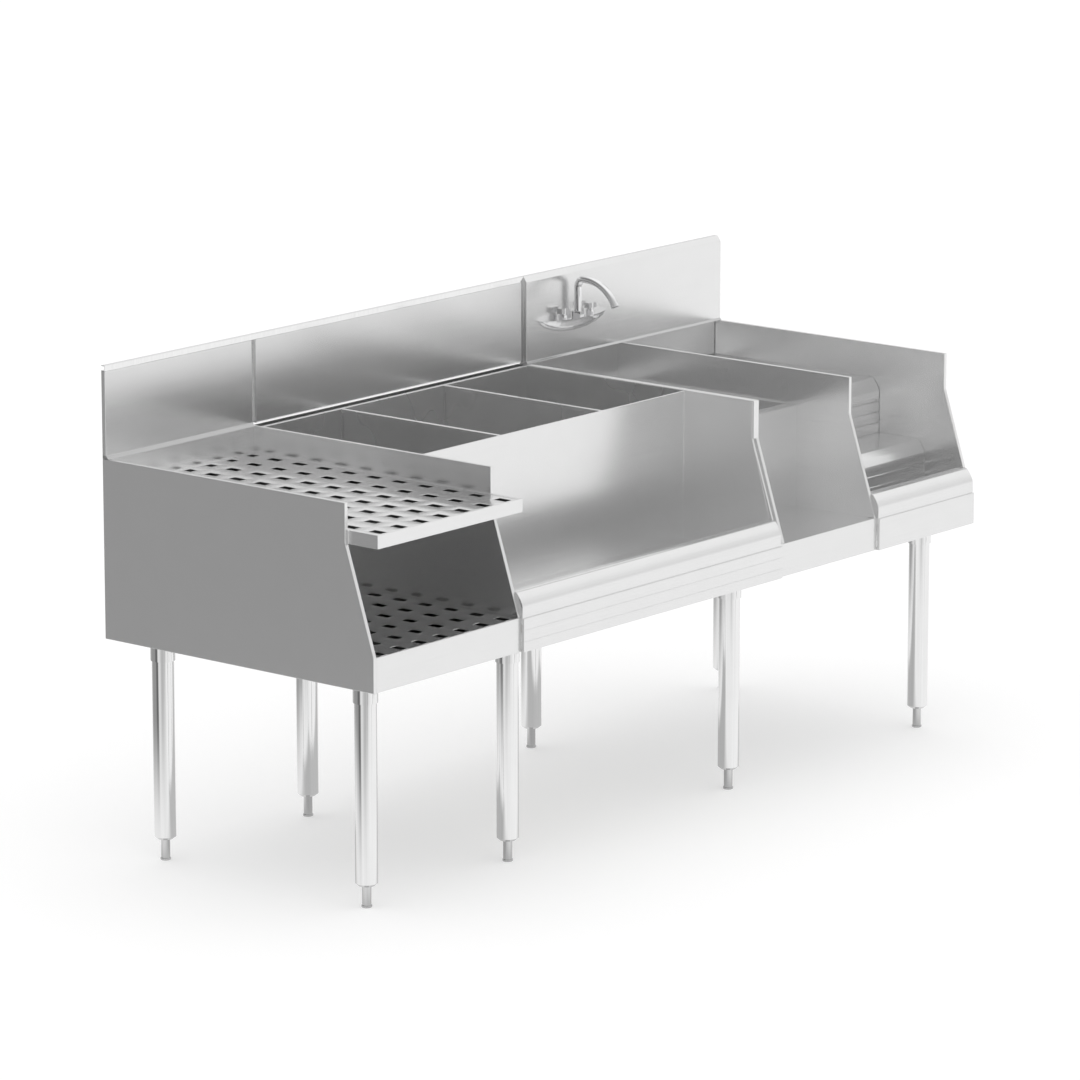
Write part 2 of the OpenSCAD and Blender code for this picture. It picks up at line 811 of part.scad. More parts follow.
// The sink drain: a flanged body, and a tailpiece below it
module sink_drain_flange() {
    color(bright) translate([sink_mid, -sink_out_y, 0]) difference() {
        drain_body(barrel_h, sink_floor_z);
        translate([0, 0, sink_floor_z - barrel_h - over])
            cylinder(r = tail_r - tail_wall, h = barrel_h + 2 * over);
    }
}

module sink_tailpiece() {
    top = sink_floor_z - barrel_h;
    color(bright) translate([sink_mid, -sink_out_y, tail_z]) difference() {
        cylinder(r = tail_r, h = top - tail_z);
        translate([0, 0, -over]) cylinder(r = tail_r - tail_wall, h = top);
    }
}

module sink_strainer() {
    color(bright) strainer(sink_mid, -sink_out_y, sink_floor_z);
}

// Locknuts that clamp the two drains under their floors
module drain_locknuts() {
    color(bright) for (p = [[sink_mid, -sink_out_y, sink_floor_z - sheet],
            [bin_out_x, -bin_out_y, bin_floor_z - sheet - foam_t]])
        translate([p[0], p[1], p[2] - nut_t]) difference() {
            cylinder(r = nut_r, h = nut_t, $fn = 8);
            translate([0, 0, -over]) cylinder(r = thread_r + 0.05, h = nut_t + 2 * over);
        }
}

// The rack's upper step, with its rear upstand and grooved riser
module rack_upper_step() {
    z0 = upper_z - nose_h - groove_pitch;
    color(steel) along_x(x_rack, x_step_end) sheet_profile(concat(
        [[-upstand_d, rim_h], [-upstand_d, upper_z]],
        nose(upper_d, upper_z),
        grooves(upper_d, [z0, z0 - groove_pitch, z0 - 2 * groove_pitch]),
        [[-upper_d, lower_z], [-upper_d + step_flange, lower_z]]));
}

module rack_lower_step() {
    z0 = lower_z - nose_h - groove_pitch;
    color(steel) along_x(x_rack, x_step_end) sheet_profile(concat(
        [[-upper_d + step_under, lower_z]],
        nose(lower_d, lower_z),
        grooves(lower_d, [z0, z0 - groove_pitch, z0 - 2 * groove_pitch]),
        [[-lower_d, rack_floor_z], [-lower_d + step_flange, rack_floor_z]]));
}

// The rack's floor and front wall
module rack_floor() {
    color(steel) along_x(x_rack, x_end_in) sheet_profile([[-lower_d + step_under, rack_floor_z],
        [-rail_back, rack_floor_z], [-rail_back, rail_z - sheet]]);
}

// Two long channels over the legs, and the cross channels between them
module underframe() {
    cross_w = 40;
    color(steel) {
        for (d = leg_y) along_x(panel_t, x_end_in) frame_channel(-d, frame_w);
        for (x = leg_x)
            translate([x - cross_w / 2, -leg_front_d + frame_w / 2 + seat_gap, body_z]) difference() {
                cube([cross_w, leg_front_d - leg_back_d - frame_w - 2 * seat_gap, frame_h]);
                translate([2 * sheet, -over, 2 * sheet])
                    cube([cross_w - 4 * sheet, leg_front_d, frame_h]);
            }
    }
}

module frame_channel(y, w) {
    t = 2 * sheet;
    difference() {
        translate([y - w / 2, body_z]) square([w, frame_h]);
        translate([y - w / 2 + t, body_z + t]) square([w - 2 * t, frame_h]);
    }
}

// Places children at the eight legs
module at_legs() {
    for (x = leg_x, y = leg_y) translate([x, -y, 0]) children();
}

socket_r = leg_d / 2 + socket_clear;

module leg_sockets() {
    color(bright) at_legs() translate([0, 0, body_z - socket_h]) difference() {
        cylinder(r = socket_r + socket_wall, h = socket_h);
        translate([0, 0, -over]) cylinder(r = socket_r, h = socket_h + 2 * over);
        translate([0, 0, socket_h / 2]) rotate([90, 0, 0]) cylinder(r = screw_r + 0.1, h = 2 * leg_d);
    }
}

module leg_tubes() {
    color(bright) at_legs() translate([0, 0, leg_z]) difference() {
        cylinder(r = leg_d / 2, h = body_z - leg_z);
        translate([0, 0, -over]) cylinder(r = leg_d / 2 - leg_wall, h = body_z);
    }
}

// Set screws that clamp the legs in their sockets
module leg_set_screws() {
    color(bright) at_legs() translate([0, -leg_d / 2, body_z - socket_h / 2]) rotate([90, 0, 0])
        difference() {
            cylinder(r = screw_r, h = screw_l, $fn = 24);
            translate([0, 0, screw_l - 2]) cylinder(r = 1.5, h = 3, $fn = 6);
        }
}

// Plugs in the lower ends of the legs, bored for the feet
module foot_plugs() {
    color(bright) at_legs() difference() {
        union() {
            translate([0, 0, leg_z]) cylinder(r = leg_d / 2 - leg_wall - plug_wall_gap, h = plug_h);
            translate([0, 0, leg_z - 5]) cylinder(r1 = leg_d / 2 - 6, r2 = leg_d / 2, h = 5);
        }
        translate([0, 0, leg_z - over]) cylinder(r = foot_d / 2 + foot_clear, h = plug_h + 2 * over);
    }
}

// A leveling foot: its stem up in the plug and its wider base on the floor
module foot(k) {
    x = leg_x[floor((k - 1) / 2)];
    y = leg_y[(k - 1) % 2];
    color(bright) translate([x, -y, 0]) union() {
        translate([0, 0, 1]) cylinder(r = foot_base_d / 2, h = foot_base_h - 1);
        cylinder(r1 = foot_base_d / 2 - 1, r2 = foot_base_d / 2, h = 1);
        translate([0, 0, foot_base_h]) cylinder(r = foot_d / 2, h = leg_z + foot_in - foot_base_h);
    }
}

module foot_1() { foot(1); }
module foot_2() { foot(2); }
module foot_3() { foot(3); }
module foot_4() { foot(4); }
module foot_5() { foot(5); }
module foot_6() { foot(6); }
module foot_7() { foot(7); }
module foot_8() { foot(8); }

// The faucet body: a boat-shaped casting against the splash, flat on top
module faucet_body() {
    n = 24;
    outline = concat([[0, -faucet_a]],
        [for (i = [1:n - 1]) let (a = -90 + 180 * i / n)
            [faucet_r * cos(a), faucet_a * sin(a)]],
        [[0, faucet_a]]);
    color(chrome) difference() {
        intersection() {
            translate([faucet_mid, -faucet_axis_y, faucet_axis_z]) rotate([0, 90, 0])
                rotate_extrude($fn = 96) polygon(outline);
            box(faucet_mid - faucet_l, faucet_mid + faucet_l, -splash_face - 2 * faucet_r, -splash_face,
                faucet_z - 2 * faucet_r, faucet_z);
        }
        for (s = [-1, 1]) {
            translate([faucet_mid + s * valve_pitch / 2, -splash_face - stem_y, faucet_z - stem_in])
                cylinder(r = stem_r + run_clear, h = stem_in + over);
            translate([faucet_mid + s * faucet_pitch / 2, -splash_face + over, faucet_z - 8])
                rotate([90, 0, 0]) cylinder(r = shank_r + 0.1, h = over + 6);
        }
        translate([faucet_mid, -splash_face - spout_y, faucet_z - spout_in])
            cylinder(r = spout_d / 2 + run_clear, h = spout_in + over);
    }
}

// Supply shanks through the splash, and their locknuts behind it
module faucet_shanks() {
    color(bright) for (s = [-1, 1]) translate([faucet_mid + s * faucet_pitch / 2, 0, faucet_z - 8])
        rotate([90, 0, 0]) {
            difference() {
                union() {
                    translate([0, 0, 1]) cylinder(r = shank_tail_r, h = splash_face);
                    translate([0, 0, shank_step]) cylinder(r = shank_r, h = splash_face + 5 - shank_step);
                }
                translate([0, 0, -over]) cylinder(r = shank_tail_r - 2, h = splash_face + 2 * over);
            }
            translate([0, 0, splash_face - sheet - shank_nut_t]) difference() {
                cylinder(r = shank_r + 5, h = shank_nut_t, $fn = 6);
                translate([0, 0, -over]) cylinder(r = shank_r + 0.05, h = 2 * over + shank_nut_t);
            }
        }
}

// Bonnets on the valves
module valve_bonnets() {
    color(chrome) for (s = [-1, 1])
        translate([faucet_mid + s * valve_pitch / 2, -splash_face - stem_y, faucet_z]) difference() {
            cylinder(r = bonnet_r, h = bonnet_h);
            translate([0, 0, -over]) cylinder(r = stem_r + run_clear, h = bonnet_h + 2 * over);
        }
}

// A handle: its stem in the body, its hub, and a block lever across it
module handle(s) {
    base = faucet_z + bonnet_h + seat_gap;
    color(chrome) translate([faucet_mid + s * valve_pitch / 2, -splash_face - stem_y, 0]) union() {
        translate([0, 0, faucet_z - stem_in + 1]) cylinder(r = stem_r, h = stem_in + bonnet_h + 2);
        translate([0, 0, base]) cylinder(r = hub_r, h = hub_h);
        translate([s > 0 ? -lever_in : lever_in - lever_l, -lever_w / 2, base + hub_h - lever_h])
            cube([lever_l, lever_w, lever_h]);
    }
}

module handle_hot() {
    handle(-1);
}

module handle_cold() {
    handle(1);
}

// The hexagon nut that holds the spout on the body
module spout_nut() {
    color(chrome) translate([faucet_mid, -splash_face - spout_y, faucet_z]) difference() {
        cylinder(r = nut_flat_r, h = nut_h, $fn = 6);
        translate([0, 0, -over]) cylinder(r = spout_d / 2 + run_clear, h = nut_h + 2 * over);
    }
}

// One bend of the spout in its own plane, a bar of radius r_bar round an arc of radius r
module bend(r_bar, r, a) {
    rotate_extrude(angle = a, $fn = 128) translate([r, 0]) circle(r = r_bar);
}

bend_y = -bend_1_r - bend_gap;
bend_top = faucet_z + spout_rise + bend_1_r;
bend_z = bend_top - bend_2_r;
spout_wall = 1.5;

// The spout's path filled with a bar, its ends drawn out by a margin
module spout_bar(r_bar, extra) {
    z0 = faucet_z - spout_in + 1;
    z1 = faucet_z + spout_rise;
    translate([0, 0, z0 - extra]) cylinder(r = r_bar, h = z1 - z0 + extra);
    translate([0, -bend_1_r, z1]) rotate([90, 0, 90]) bend(r_bar, bend_1_r, 90);
    translate([0, -bend_1_r, bend_top]) rotate([90, 0, 0]) cylinder(r = r_bar, h = bend_gap);
    translate([0, bend_y, bend_z]) rotate([90, 0, 90]) rotate([0, 0, 90])
        bend(r_bar, bend_2_r, bend_2_a + extra);
}

// The gooseneck: a straight rise, a short bend and a long bend down to the outlet
module spout() {
    color(chrome) translate([faucet_mid, -splash_face - spout_y, 0]) difference() {
        spout_bar(spout_d / 2, 0);
        spout_bar(spout_d / 2 - spout_wall, 1);
    }
}

// The aerator on the spout's end
module aerator() {
    a = 90 + bend_2_a;
    color(chrome) translate([faucet_mid, -splash_face - spout_y + bend_y + bend_2_r * cos(a),
        bend_z + bend_2_r * sin(a)]) rotate([a - 180, 0, 0])
        translate([0, 0, -aerator_l - seam / 2]) difference() {
            cylinder(r = aerator_r, h = aerator_l);
            translate([0, 0, -over]) cylinder(r = aerator_r - 3, h = over + aerator_l - 2);
        }
}

place() {
    splash_left();
    splash_center();
    splash_right();
    splash_trim();
    rear_panel();
    left_side_panel();
    right_side_panel();
    drain_partition();
    bin_right_panel();
    blender_left_panel();
    rack_partition();
    drain_pan();
    drain_insert();
    drain_outlet();
    lower_shelf();
    shelf_tray();
    drain_apron();
    bin_liner();
    bin_insulation();
    bin_front_rail();
    bin_apron();
    bin_drain();
    bin_drain_screen();
    bottle_wells();
    well_divider_left();
    well_divider_right();
    divider_guides();
    recess_pan();
    dump_sink();
    sink_drain_flange();
    sink_strainer();
    sink_tailpiece();
    drain_locknuts();
    blender_apron();
    rack_upper_step();
    rack_lower_step();
    rack_floor();
    rack_front_rail();
    rack_apron();
    underframe();
    leg_sockets();
    leg_tubes();
    leg_set_screws();
    foot_plugs();
    foot_1();
    foot_2();
    foot_3();
    foot_4();
    foot_5();
    foot_6();
    foot_7();
    foot_8();
    faucet_body();
    faucet_shanks();
    valve_bonnets();
    handle_hot();
    handle_cold();
    spout_nut();
    spout();
    aerator();
}
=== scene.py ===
import json
import math

import bmesh
import bpy
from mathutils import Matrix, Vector


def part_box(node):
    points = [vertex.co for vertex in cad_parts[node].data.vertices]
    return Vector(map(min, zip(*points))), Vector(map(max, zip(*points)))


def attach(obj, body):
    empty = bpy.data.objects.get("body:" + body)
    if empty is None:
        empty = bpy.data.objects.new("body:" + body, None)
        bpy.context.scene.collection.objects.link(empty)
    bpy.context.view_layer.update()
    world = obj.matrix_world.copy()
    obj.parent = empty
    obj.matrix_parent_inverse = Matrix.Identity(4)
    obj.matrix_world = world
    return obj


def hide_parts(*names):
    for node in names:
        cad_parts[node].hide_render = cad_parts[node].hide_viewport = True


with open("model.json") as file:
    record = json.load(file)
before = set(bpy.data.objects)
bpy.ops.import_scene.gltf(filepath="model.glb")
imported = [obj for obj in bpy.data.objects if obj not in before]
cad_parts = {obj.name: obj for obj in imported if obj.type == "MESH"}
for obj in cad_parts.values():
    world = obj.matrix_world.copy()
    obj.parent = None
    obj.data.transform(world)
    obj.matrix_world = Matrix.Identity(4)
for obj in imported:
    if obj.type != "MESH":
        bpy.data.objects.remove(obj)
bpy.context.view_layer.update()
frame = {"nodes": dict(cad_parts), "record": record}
NODES = frame["nodes"]
SLOTS = {part["node"]: part["material_slot"] for part in frame["record"]["subparts"]}
scene = bpy.context.scene
scene.view_settings.view_transform = "Standard"
# The deep wells and compartments mirror themselves many times
scene.cycles.glossy_bounces = 8
# Points closer than this are one point, and faces that bend less than this are one face
SAME_POINT, SAME_FACE = 1e-6, math.radians(0.5)


# Camera, solved from the photograph's vanishing lines
def make_camera():
    azimuth, pitch = math.radians(50.4297), math.radians(12.7066)
    focal_px, frame_px, sensor_mm = 5908.8, 1080, 36.0
    data = bpy.data.cameras.new("camera")
    camera = bpy.data.objects.new("camera", data)
    scene.collection.objects.link(camera)
    scene.camera = camera
    camera.location = (-8.6036, -7.0652, 3.0106)
    level = math.cos(pitch)
    look = Vector((math.sin(azimuth) * level, math.cos(azimuth) * level, -math.sin(pitch)))
    camera.rotation_mode = "QUATERNION"
    camera.rotation_quaternion = look.to_track_quat("-Z", "Y")
    data.sensor_fit = "HORIZONTAL"
    data.sensor_width = sensor_mm
    data.lens = focal_px * sensor_mm / frame_px
    data.clip_start, data.clip_end = 0.1, 100


class Graph:
    """Makes shader nodes and links their inputs, by name or, as i0 or i1, by number."""

    def __init__(self, owner):
        owner.use_nodes = True
        self.tree = owner.node_tree
        self.tree.nodes.clear()

    def add(self, kind, props=(), **inputs):
        node = self.tree.nodes.new(kind)
        for key, value in dict(props).items():
            setattr(node, key, value)
        for key, value in inputs.items():
            name = key.replace("_", " ")
            socket = node.inputs[int(name[1:]) if name[0] == "i" and name[1:].isdigit() else name]
            if isinstance(value, bpy.types.NodeSocket):
                self.tree.links.new(value, socket)
            else:
                socket.default_value = value
        return node

    def math(self, operation, a, b=0.0):
        return self.add("ShaderNodeMath", {"operation": operation}, i0=a, i1=b).outputs[0]

    def noise(self, place, scale, detail):
        node = self.add("ShaderNodeTexNoise", Vector=place, Scale=scale, Detail=detail, Roughness=0.5)
        return node.outputs["Fac"]

    def remap(self, value, lo, hi, to_lo, to_hi, smooth=False):
        kind = {"interpolation_type": "SMOOTHSTEP" if smooth else "LINEAR"}
        node = self.add("ShaderNodeMapRange", kind, Value=value, From_Min=lo, From_Max=hi,
                        To_Min=to_lo, To_Max=to_hi)
        return node.outputs["Result"]

    def ramp(self, value, stops):
        node = self.add("ShaderNodeValToRGB", i0=value)
        elements = node.color_ramp.elements
        while len(elements) < len(stops):
            elements.new(0.5)
        for element, (place, tone) in zip(elements, stops):
            element.position = place
            element.color = (*tone, 1) if isinstance(tone, tuple) else (tone, tone, tone, 1)
        return node.outputs["Color"]

    def mix_tones(self, share, first, second):
        return self.add("ShaderNodeMix", {"data_type": "RGBA"}, i0=share, i6=first, i7=second).outputs[2]

    def mix_shaders(self, share, first, second):
        return self.add("ShaderNodeMixShader", Fac=share, i1=first, i2=second).outputs[0]

    def shader(self, kind, tone=1.0, **inputs):
        return self.add(kind, Color=(tone, tone, tone, 1), **inputs).outputs[0]


# Materials of the metal and the foam
def grey(tone):
    return (tone, tone, tone)


def metal(name, base, rough, grain, streak=0.02, tone=0.02, blotch=0.015, metallic=1.0, painted_shade=None):
    """Brushed, polished or plated metal, with the grain's scale per metre along X, Y and Z.

    The last argument, if given, is a tone and the corners of a box: in there, the colour is darkened by that
    tone, a painted shade.
    """
    clouds_per_m, smears_per_m, smeared_tone = 3.1, 23.0, 0.985
    usual, smeared = (0.3, 0.7), (0.35, 0.75)
    material = bpy.data.materials.new(name)
    g = Graph(material)
    place = g.add("ShaderNodeTexCoord").outputs["Object"]
    fine = g.noise(g.add("ShaderNodeMapping", Vector=place, Scale=grain).outputs["Vector"], 1.0, 1.0)
    cloud = g.noise(place, clouds_per_m, 3.0)
    smear = g.noise(place, smears_per_m, 2.0)
    rough_line = g.remap(fine, *usual, rough - streak, rough + streak)
    rough_all = g.math("ADD", rough_line, g.remap(cloud, *usual, -blotch, blotch))
    tone_line = g.remap(fine, *usual, 1 - tone, 1 + tone)
    tone_all = g.math("MULTIPLY", tone_line, g.remap(smear, *smeared, 1.0, smeared_tone))
    # Painted shade: inside the given box the sheet's colour is multiplied by a darker tone
    if painted_shade:
        tone_all = g.math("MULTIPLY", tone_all, inner_tone(g, place, *painted_shade))
    colour = g.add("ShaderNodeVectorMath", {"operation": "SCALE"}, i0=base, Scale=tone_all).outputs["Vector"]
    shader = g.add("ShaderNodeBsdfPrincipled", Metallic=metallic, Base_Color=colour, Roughness=rough_all)
    g.add("ShaderNodeOutputMaterial", Surface=shader.outputs["BSDF"])
    return material


def inner_tone(g, place, tone, lo, hi):
    """The tone in the box from lo to hi, and 1 outside it."""
    soft_edge = 0.0004
    at = g.add("ShaderNodeSeparateXYZ", Vector=place).outputs
    outside = 0.0
    for axis, low, high in zip("XYZ", lo, hi):
        beyond = g.math("MAXIMUM", g.math("SUBTRACT", low, at[axis]), g.math("SUBTRACT", at[axis], high))
        outside = g.math("MAXIMUM", outside, beyond)
    return g.remap(outside, 0.0, soft_edge, tone, 1.0)


def foam_material():
    cells_per_m, cell_depth = 260.0, 0.002
    material = bpy.data.materials.new("foam")
    g = Graph(material)
    place = g.add("ShaderNodeTexCoord").outputs["Object"]
    cells = g.add("ShaderNodeTexVoronoi", Vector=place, Scale=cells_per_m).outputs["Distance"]
    colour = g.ramp(cells, [(0.0, (0.70, 0.66, 0.52)), (0.5, (0.84, 0.80, 0.66))])
    normal = g.add("ShaderNodeBump", Strength=0.3, Distance=cell_depth, Height=cells).outputs["Normal"]
    shader = g.add("ShaderNodeBsdfPrincipled", Base_Color=colour, Roughness=0.85, Normal=normal)
    g.add("ShaderNodeOutputMaterial", Surface=shader.outputs["BSDF"])
    return material


# Painted shade darkens the sheet in the drain pan under its deck and at the feet of two backsplashes
HALF_GAUGE, BELOW_DECK, LEFT_COVE, RIGHT_COVE = 0.0006, 0.002, 0.0066, 0.0041
deck_lo, deck_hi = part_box("drain_insert")
splash_lo, splash_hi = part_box("splash_left")
right_lo, right_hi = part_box("splash_right")
pan_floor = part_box("drain_pan")[0].z + HALF_GAUGE
UNDER_DECK = (0.30, (deck_lo.x, deck_lo.y, pan_floor), (deck_hi.x, deck_hi.y, deck_hi.z - BELOW_DECK))
SPLASH_FOOT = (0.62, splash_lo, (splash_hi.x, splash_hi.y, splash_lo.z + LEFT_COVE))
RIGHT_FOOT = (0.70, right_lo, (right_hi.x, right_hi.y, right_lo.z + RIGHT_COVE))

# The sheet's tone and roughness, and the grain's scales: small along the grain and large across it
SHEET, SHEET_ROUGH = grey(0.85), 0.24
GRAIN_X, GRAIN_Y, GRAIN_Z = (3, 350, 350), (350, 3, 350), (300, 300, 4)
CLOUDS, SPECKS, FINE_SPECKS = (6, 6, 6), (40, 40, 40), (300, 300, 300)
SATIN = {"streak": 0.008, "tone": 0.008, "blotch": 0.01, "metallic": 0.93}
MATERIALS = {
    "sheet_x": metal("satin_sheet_x", SHEET, SHEET_ROUGH, GRAIN_X, **SATIN),
    "sheet_y": metal("satin_sheet_y", SHEET, SHEET_ROUGH, GRAIN_Y, **SATIN),
    # These three sheets carry painted shade in a box: under the drain deck and at the feet of the two
    # backsplashes
    "pan": metal("pan_sheet", SHEET, SHEET_ROUGH, GRAIN_X, painted_shade=UNDER_DECK, **SATIN),
    "cove": metal("splash_sheet", SHEET, SHEET_ROUGH, GRAIN_X, painted_shade=SPLASH_FOOT, **SATIN),
    "cove_right": metal("right_splash_sheet", SHEET, SHEET_ROUGH, GRAIN_X, painted_shade=RIGHT_FOOT, **SATIN),
    "tub": metal("satin_tub", SHEET, 0.27, CLOUDS, streak=0.004, tone=0.003, metallic=0.98),
    # The shelf tray's steel is darkened to 0.28, a painted shade for the little light that reaches under the
    # shelf
    "tray": metal("tray_steel_painted_shade", grey(0.28), 0.35, GRAIN_Y),
    "foot": metal("foot_steel", grey(0.66), 0.10, GRAIN_Z, streak=0.01),
    # The cut edges of the perforations are near black, a painted shade that makes the holes look dark
    "punched": metal("punched_edge_painted_shade", grey(0.06), 0.45, FINE_SPECKS, metallic=0.7),
    "polished": metal("polished_steel", grey(0.88), 0.07, GRAIN_Z, streak=0.01),
    "chrome": metal("chrome_plate", (0.88, 0.88, 0.885), 0.04, SPECKS, streak=0.01, tone=0.01),
    "foam": foam_material(),
}
SLOT_KINDS = {"satin_steel": "sheet_x", "polished_steel": "polished", "chrome": "chrome", "foam": "foam"}
OWN_KINDS = {"shelf_tray": "tray", "drain_pan": "pan", "splash_left": "cove", "splash_right": "cove_right"}
TUBS = ("bottle_wells", "well_divider_left", "well_divider_right", "divider_guides")
GRAIN_ALONG_Y = ("left_side_panel", "right_side_panel", "drain_partition", "bin_right_panel",
                 "blender_left_panel", "rack_partition")


def kind_of(name):
    if name in OWN_KINDS:
        return OWN_KINDS[name]
    if name.startswith("foot_") and name != "foot_plugs":
        return "foot"
    if name in GRAIN_ALONG_Y:
        return "sheet_y"
    return "tub" if name in TUBS else SLOT_KINDS[SLOTS[name]]


def dress_nodes():
    for name, node in NODES.items():
        node.data.materials.clear()
        node.data.materials.append(MATERIALS[kind_of(name)])


# Small bevels on the edges, and the angles from which an edge has one or is a sharp one
NODE_BEVEL, PIECE_BEVEL = 0.0006, 0.0005
BEVELLED_ANGLE, SHARP_ANGLE = math.radians(35), math.radians(32)
# The sheet nodes that get the small round of a deburred, folded edge
FOLDED = GRAIN_ALONG_Y + TUBS + (
    "splash_left", "splash_center", "splash_right", "splash_trim", "rear_panel", "drain_pan", "shelf_tray",
    "drain_apron", "bin_liner", "bin_apron", "recess_pan", "dump_sink", "blender_apron", "rack_floor",
    "rack_apron", "underframe")


def soften_nodes():
    for name in FOLDED:
        node = NODES[name]
        weld = node.modifiers.new("weld", "WELD")
        weld.merge_threshold = SAME_POINT
        flat = node.modifiers.new("flat", "DECIMATE")
        flat.decimate_type = "DISSOLVE"
        flat.angle_limit = SAME_FACE
        add_edge_bevel(node, NODE_BEVEL)


def add_edge_bevel(piece, width):
    bevel = piece.modifiers.new("edges", "BEVEL")
    bevel.width = width
    bevel.segments = 2
    bevel.limit_method = "ANGLE"
    bevel.angle_limit = BEVELLED_ANGLE


def finish_mesh(bm, name):
    """An object of the bent sheet in bm, smooth except at its sharp edges."""
    mesh = bpy.data.meshes.new(name)
    bm.to_mesh(mesh)
    bm.free()
    for face in mesh.polygons:
        face.use_smooth = True
    mesh.set_sharp_from_angle(angle=SHARP_ANGLE)
    mesh.materials.append(MATERIALS["sheet_x"])
    piece = bpy.data.objects.new(name, mesh)
    scene.collection.objects.link(piece)
    return piece


# The front rails and the rack's steps, with their soft bends rounded along the length
RAIL_RADIUS, STEP_RADIUS = 0.005, 0.0012


def rounded(node, radius):
    bm = bmesh.new()
    bm.from_mesh(NODES[node].data)
    bmesh.ops.remove_doubles(bm, verts=bm.verts, dist=SAME_POINT)
    bmesh.ops.dissolve_limit(bm, angle_limit=SAME_FACE, verts=bm.verts, edges=bm.edges)
    bends = [edge for edge in bm.edges if is_soft_bend(edge)]
    bmesh.ops.bevel(bm, geom=bends, offset=radius, offset_type="OFFSET", segments=6, profile=0.5,
                    affect="EDGES", clamp_overlap=True)
    piece = finish_mesh(bm, node + "_rounded")
    add_edge_bevel(piece, PIECE_BEVEL)
    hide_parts(node)
    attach(piece, "station")


def is_soft_bend(edge):
    """Whether the edge runs along the length, bends gently and lies between faces wide enough to round."""
    least_angle, most_angle, least_width, near_parallel = math.radians(8), math.radians(60), 0.0028, 0.99
    a, b = (vertex.co for vertex in edge.verts)
    angle = edge.calc_face_angle(0.0) if len(edge.link_faces) == 2 else 0.0
    if abs(b.x - a.x) <= near_parallel * (b - a).length or not least_angle < angle < most_angle:
        return False
    return min(face.calc_area() for face in edge.link_faces) > least_width * edge.calc_length()


# The perforated inserts: their holes, the radii of holes and bends, and the sheet
COLS, ROWS, PITCH_X, PITCH_Y = 7, 11, 0.0577, 0.062
HALF_X, HALF_Y, HOLE_RADIUS, EDGE_RADIUS = 0.0088, 0.0142, 0.001, 0.002
GAUGE, LEAST_STRIP = 0.0012, 0.003
DECK_FIRST_ROW, SHELF_FIRST_ROW = 0.0187, 0.016
# How far outside a hole, and how high, each ring of its dished edge lies
FLARE = ((0.0007, 0.0), (0.0003, -0.0001), (0.0, -0.0004))
# A quarter turn has four steps, and a cell's side as many points as a hole's corner and side together
QUARTER_STEPS = 4
SIDE_POINTS = QUARTER_STEPS + 2


def perforated(node, body, first):
    """An insert with dished holes and turned-down edges. Its first row is first behind its front edge."""
    lo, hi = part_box(node)
    mid = (lo.x + hi.x) / 2
    edge_x = [mid + (i - COLS / 2) * PITCH_X for i in range(COLS + 1)]
    edge_x[0], edge_x[-1] = lo.x + EDGE_RADIUS, hi.x - EDGE_RADIUS
    row_y = [lo.y + first + i * PITCH_Y for i in range(ROWS)]
    edge_y = [y - PITCH_Y / 2 for y in row_y] + [hi.y - EDGE_RADIUS]
    edge_y[0] = lo.y + EDGE_RADIUS
    bm = bmesh.new()
    for col in range(COLS):
        for row in range(ROWS):
            cell = (edge_x[col], edge_x[col + 1], edge_y[row], edge_y[row + 1])
            x = mid + (col - (COLS - 1) / 2) * PITCH_X
            back = min(row_y[row] + HALF_Y, hi.y - LEAST_STRIP)
            dished_cell(bm, cell, (x - HALF_X, x + HALF_X, row_y[row] - HALF_Y, back), hi.z)
    bmesh.ops.remove_doubles(bm, verts=bm.verts, dist=SAME_POINT)
    turn_down(bm, lo, hi)
    piece = finish_mesh(bm, node + "_dished")
    solid = piece.modifiers.new("gauge", "SOLIDIFY")
    solid.thickness, solid.offset = GAUGE, -1.0
    # The rim, the walls of the holes and the outer edge, takes the near-black painted shade
    solid.material_offset_rim = 1
    piece.data.materials.append(MATERIALS["punched"])
    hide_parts(node)
    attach(piece, body)


def dished_cell(bm, cell, hole, top):
    """The sheet of one cell, from its outline down into its hole."""
    least_gap = 0.0002
    room = min(hole[0] - cell[0], cell[1] - hole[1], hole[2] - cell[2], cell[3] - hole[3])
    share = min(1.0, (room - least_gap) / FLARE[0][0])
    previous = cell_ring(bm, cell, top)
    for out, drop in FLARE:
        ring = hole_ring(bm, hole, out * share, top + drop)
        for i in range(len(ring)):
            k = (i + 1) % len(ring)
            bm.faces.new((previous[i], previous[k], ring[k], ring[i]))
        previous = ring


def cell_ring(bm, cell, z):
    x0, x1, y0, y1 = cell
    ring = []
    corners = ((x0, y0), (x1, y0), (x1, y1), (x0, y1))
    for (ax, ay), (bx, by) in zip(corners, corners[1:] + corners[:1]):
        for i in range(SIDE_POINTS):
            t = i / SIDE_POINTS
            ring.append(bm.verts.new((ax + (bx - ax) * t, ay + (by - ay) * t, z)))
    return ring


def hole_ring(bm, hole, out, z):
    """A ring round the hole. It starts in the middle of the first corner, where a cell's ring starts too."""
    x0, x1, y0, y1 = hole[0] - out, hole[1] + out, hole[2] - out, hole[3] + out
    radius = HOLE_RADIUS + out
    ring = []
    centres = ((x0 + radius, y0 + radius), (x1 - radius, y0 + radius), (x1 - radius, y1 - radius),
               (x0 + radius, y1 - radius))
    for corner, (cx, cy) in enumerate(centres):
        nx, ny = centres[(corner + 1) % len(centres)]
        start = 180 + 90 * corner
        turns = [math.radians(start + 90 / QUARTER_STEPS * i) for i in range(QUARTER_STEPS + 1)]
        arc = [(cx + radius * math.cos(a), cy + radius * math.sin(a)) for a in turns]
        end = math.radians(start + 90)
        middle = ((cx + nx) / 2 + radius * math.cos(end), (cy + ny) / 2 + radius * math.sin(end))
        ring.extend(bm.verts.new((x, y, z)) for x, y in arc + [middle])
    half_turn = QUARTER_STEPS // 2
    return ring[half_turn:] + ring[:half_turn]


